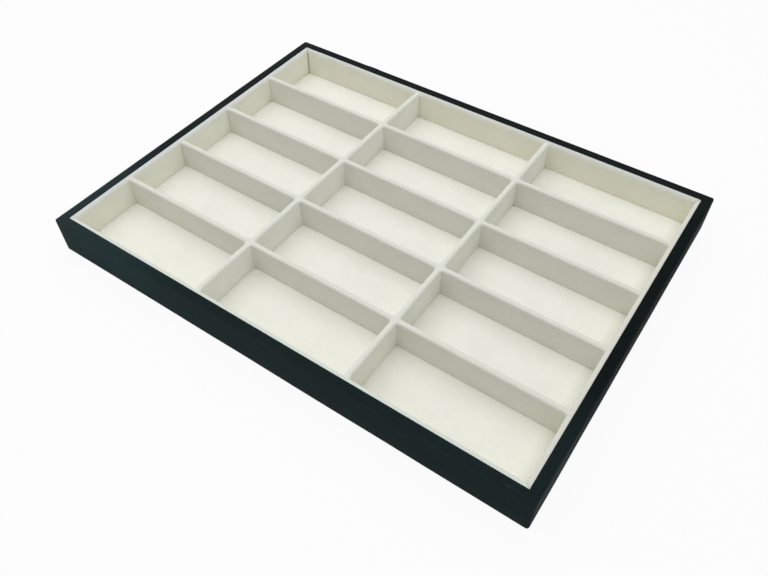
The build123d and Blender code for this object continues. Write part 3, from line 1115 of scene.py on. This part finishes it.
class LiningSleeves(bpy.types.Operator):
    """Cover the four lining panels in velvet, mitred where they meet"""

    bl_idname = "display_tray.lining_sleeves"
    bl_label = "Lining sleeves"

    def execute(self, context):
        for number, (name, turn) in enumerate(LINING_TURNS.items()):
            self.sleeve(context, name, turn, number + 20.0)
        return {"FINISHED"}

    def sleeve(self, context, name, turn, seed):
        """One lining's velvet, made along X with its face towards +Y, then turned into place."""
        sizes = context.scene.display_tray_sizes
        along, across = (0, 1) if turn % 180 == 0 else (1, 0)
        face_run = LINING_FACE[along]
        face = -LINING_FACE[across]
        back = -RIM_INNER[across]
        centres = (column_centres, row_centres)[along]
        section = hem_points(face, sizes.sleeve_hem)
        section += [(face, z) for z in (LAP_LEVEL, PANEL_TOP - TOP_LOOP, PANEL_TOP)]
        section += [(back, PANEL_TOP), (back, PANEL_TOP - sizes.lining_turn_over)]
        loops = beside_panels(centres, in_mm(0, 1, 2.5)) + beside_ends(face_run, in_mm(0.5, 1.2, 2.5))
        places = stations(-face_run, face_run, SLEEVE_PITCH, loops)
        bm = bmesh.new()
        line = wire(bm, [(places[0], y, z) for y, z in section])
        round_off(bm, line[5:6], sizes.lining_edge, 6, "VERTICES")
        round_off(bm, line[6:7], sizes.lining_back_edge, 3, "VERTICES")
        draw_out(bm, bm.edges[:], Vector((1, 0, 0)), places)
        face_outwards(bm, above=PANEL_TOP - 1 * MM)
        self.fit(bm, sizes, face_run, face, back, seed)
        turn_about(bm, turn)

        # Painted shade in the upright corners, along the mitre seam and behind the top
        def painted_shade(place):
            run, cross = place[along], abs(place[across])
            gaps = [abs(run - centre) - PANEL_HALF for centre in centres] + [face_run - abs(run)]
            upright = nearness(min(abs(gap) for gap in gaps), 0.9 * MM)
            below_top = smooth_step(1 * MM, 4 * MM, PANEL_TOP - place.z)
            mitre = nearness(abs(abs(run) - face_run - cross - face), 1.2 * MM)
            behind = smooth_step(0.5 * MM, 2 * MM, PANEL_TOP - place.z) if cross > -back - 1 * MM else 0
            return max(0.4 * upright * below_top, 0.55 * mitre, 0.5 * behind)

        masks = {"painted_shade": painted_shade, "fold_and_painted_light": fold_and_painted_light_mask(sizes.lining_edge)}
        board, node = f"{name}_lining_board", f"{name}_lining_velvet"
        velvet_sheet(f"{name}_lining_cloth", bm, context, name, node, masks)

    def fit(self, bm, sizes, face_run, face, back, seed):
        """Mitre the lining's ends, draw in its seams and make it uneven as glued cloth is."""
        drop = PANEL_TOP - sizes.lining_edge
        for vertex in bm.verts:
            start = vertex.co.copy()
            gap = face_run - abs(start.x)
            mitred = 1 - smooth_step(1.2 * MM, 2.4 * MM, gap)
            vertex.co.x += math.copysign(mitred * (face - start.y), start.x)
            near_end = nearness(gap, 1.2 * MM)
            if start.y > (face + back) / 2:
                below_top = 1 - smooth_step(drop - 1.5 * MM, drop + 0.5 * MM, start.z)
                free = smooth_step(FLOOR_TOP, FLOOR_TOP + 6 * MM, start.z)
                vertex.co.y -= sizes.seam_depth * near_end * below_top
                vertex.co.y += 0.6 * sizes.velvet_waver * free * waver(start, LINING_WAVES, seed)
            if start.z > drop:
                swell = 0.5 * sizes.velvet_waver * waver(start, TOP_WAVES, seed + 4)
                vertex.co.z += swell - 0.2 * MM * near_end


class UndersideFelt(bpy.types.Operator):
    """Cover the underside with felt that hides the turned-in leatherette"""

    bl_idname = "display_tray.underside_felt"
    bl_label = "Underside felt"

    def execute(self, context):
        sizes = context.scene.display_tray_sizes
        half_x, half_y, radius = felt_high.x, felt_high.y, sizes.felt_corner
        steps = [share * radius for share in (0.0, 0.08, 0.3, 0.6, 1.0)]
        across = stations(-half_x, half_x, FELT_PITCH, beside_ends(half_x, steps))
        along = stations(-half_y, half_y, FELT_PITCH, beside_ends(half_y, steps))
        bm = bmesh.new()
        wire(bm, [(x, along[0], felt_low.z) for x in across])
        draw_out(bm, bm.edges[:], Vector((0, 1, 0)), along)
        for vertex in bm.verts:
            into_corner = abs(vertex.co.y) - (half_y - radius)
            if into_corner > 0:
                reach = half_x - radius + math.sqrt(max(0.0, radius**2 - into_corner**2))
                vertex.co.x = max(-reach, min(reach, vertex.co.x))
        bmesh.ops.remove_doubles(bm, verts=bm.verts, dist=0.02 * MM)
        face_outwards(bm, up=-1)
        for vertex in bm.verts:
            if vertex.is_boundary:
                vertex.co *= 1 + FELT_EDGE_WAVER * waver(vertex.co, FELT_EDGE_WAVES, 31.0)
            vertex.co.z += FELT_WAVER * max(0.0, waver(vertex.co, FELT_WAVES, 33.0))
        material = felt_material(context.scene.display_tray_colours)
        piece = finish_piece("felt_sheet", bm, material, sizes.felt_thickness)
        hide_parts("underside_felt")
        return {"FINISHED"}


class BoardsAndPins(bpy.types.Operator):
    """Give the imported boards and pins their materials"""

    bl_idname = "display_tray.boards_and_pins"
    bl_label = "Boards and pins"

    def execute(self, context):
        colours = context.scene.display_tray_colours
        fibreboard = board_material("Fibreboard", colours.fibreboard, colours.fibreboard_fleck, 0.7 * MM)
        card = board_material("Grey card", colours.card, colours.card_fleck, 0.4 * MM)
        steel = steel_material(colours)
        for name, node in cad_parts.items():
            if name == "corner_pins":
                material = steel
            elif name.endswith("wall_board") or name in ("base_board", "floor_board"):
                material = fibreboard
            elif name.endswith("_board"):
                material = card
            else:
                continue
            node.data.materials.clear()
            node.data.materials.append(material)
        return {"FINISHED"}


# Stage


class Stage(bpy.types.Operator):
    """Set the table, the light and the camera"""

    bl_idname = "display_tray.stage"
    bl_label = "Stage"

    def execute(self, context):
        scene = context.scene
        scene.view_settings.view_transform = "Standard"
        self.set_camera(scene)
        self.set_table(scene)
        self.set_world(scene)
        self.set_lamp(scene)
        return {"FINISHED"}

    def set_camera(self, scene):
        """Look from the front right, as the photograph does."""
        lens = bpy.data.cameras.new("Camera")
        lens.sensor_fit = "HORIZONTAL"
        lens.sensor_width = 36
        lens.lens = 34.15123
        lens.clip_start = 0.01
        lens.clip_end = 50
        camera = bpy.data.objects.new("Camera", lens)
        camera.location = (0.29135, -0.42736, 0.52223)
        turn = (40.77875, 0.23630, 34.51444)
        camera.rotation_euler = Euler([math.radians(angle) for angle in turn])
        scene.collection.objects.link(camera)
        scene.camera = camera

    def seen_directly(self, wiring):
        """1 for camera, mirror and glass rays, which see the white background."""
        path = wiring.add("ShaderNodeLightPath").outputs
        return wiring.largest(path["Is Camera Ray"], path["Is Glossy Ray"], path["Is Transmission Ray"])

    def set_table(self, scene):
        """A pale table that shows white, keeps the tray's soft shadow and is clear from below."""
        bm = bmesh.new()
        bmesh.ops.create_grid(bm, x_segments=1, y_segments=1, size=6)
        bmesh.ops.translate(bm, verts=bm.verts, vec=(0, 0, -0.1 * MM))
        mesh = bpy.data.meshes.new("table")
        bm.to_mesh(mesh)
        bm.free()
        table = bpy.data.objects.new("table", mesh)
        scene.collection.objects.link(table)
        material = bpy.data.materials.new("Pale table")
        material.use_nodes = True
        wiring = Wiring(material.node_tree)
        shader = material.node_tree.nodes["Principled BSDF"]
        shader.inputs["Base Color"].default_value = solid_colour(scene.display_tray_colours.table)
        shader.inputs["Roughness"].default_value = 0.9
        shader.inputs["Specular IOR Level"].default_value = 0.0
        white = wiring.add("ShaderNodeEmission", {"Color": (1, 1, 1, 1), "Strength": 1.0})
        clear = wiring.add("ShaderNodeBsdfTransparent")
        from_below = wiring.add("ShaderNodeNewGeometry").outputs["Backfacing"]
        share = wiring.times(self.seen_directly(wiring), 0.93)
        top_values = {0: share, 1: shader.outputs[0], 2: white.outputs[0]}
        top = wiring.add("ShaderNodeMixShader", top_values)
        side_values = {0: from_below, 1: top.outputs[0], 2: clear.outputs[0]}
        one_sided = wiring.add("ShaderNodeMixShader", side_values)
        output = material.node_tree.nodes["Material Output"]
        wiring.put(output.inputs["Surface"], one_sided.outputs[0])
        mesh.materials.append(material)

    def set_world(self, scene):
        """Even light from all round, and a white background."""
        world = bpy.data.worlds.new("Studio")
        scene.world = world
        world.use_nodes = True
        wiring = Wiring(world.node_tree)
        background = world.node_tree.nodes["Background"]
        strength = wiring.spread(self.seen_directly(wiring), 0.0, 1.0, 0.43, 1.0, "LINEAR")
        background.inputs["Color"].default_value = (1.0, 1.0, 1.0, 1.0)
        wiring.put(background.inputs["Strength"], strength)

    def set_lamp(self, scene):
        """One large soft lamp overhead, a little to the left."""
        lamp = bpy.data.lights.new("Overhead", "AREA")
        lamp.shape = "SQUARE"
        lamp.size = 1.8
        lamp.energy = 15.8
        holder = bpy.data.objects.new("Overhead", lamp)
        holder.location = (-0.20, 0.05, 1.40)
        holder.rotation_euler = (-holder.location).to_track_quat("-Z", "Y").to_euler()
        scene.collection.objects.link(holder)


class DisplayTrayPanel(bpy.types.Panel):
    """The tray's sizes, colours and pieces, in the sidebar"""

    bl_idname = "VIEW3D_PT_display_tray"
    bl_label = "Display Tray"
    bl_space_type = "VIEW_3D"
    bl_region_type = "UI"
    bl_category = "Display Tray"

    def draw(self, context):
        layout = self.layout
        for group in (context.scene.display_tray_sizes, context.scene.display_tray_colours):
            column = layout.column(align=True)
            for name in group.__annotations__:
                column.prop(group, name)
        for operator in OPERATORS:
            layout.operator(operator.bl_idname)


OPERATORS = (
    OuterCover,
    FloorVelvet,
    DividerSleeves,
    LiningSleeves,
    UndersideFelt,
    BoardsAndPins,
    Stage,
)


def register():
    """Register the classes and hang the settings on the scene."""
    for item in (TraySizes, TrayColours, *OPERATORS, DisplayTrayPanel):
        bpy.utils.register_class(item)
    bpy.types.Scene.display_tray_sizes = PointerProperty(type=TraySizes)
    bpy.types.Scene.display_tray_colours = PointerProperty(type=TrayColours)


def unregister():
    """Take the settings and the classes away again."""
    del bpy.types.Scene.display_tray_colours
    del bpy.types.Scene.display_tray_sizes
    for item in (DisplayTrayPanel, *reversed(OPERATORS), TrayColours, TraySizes):
        bpy.utils.unregister_class(item)


def main():
    """Register the tools, set the stage and build every piece in order."""
    register()
    bpy.ops.display_tray.stage()
    bpy.ops.display_tray.outer_cover()
    bpy.ops.display_tray.floor_velvet()
    bpy.ops.display_tray.divider_sleeves()
    bpy.ops.display_tray.lining_sleeves()
    bpy.ops.display_tray.underside_felt()
    bpy.ops.display_tray.boards_and_pins()


if __name__ == "__main__":
    main()
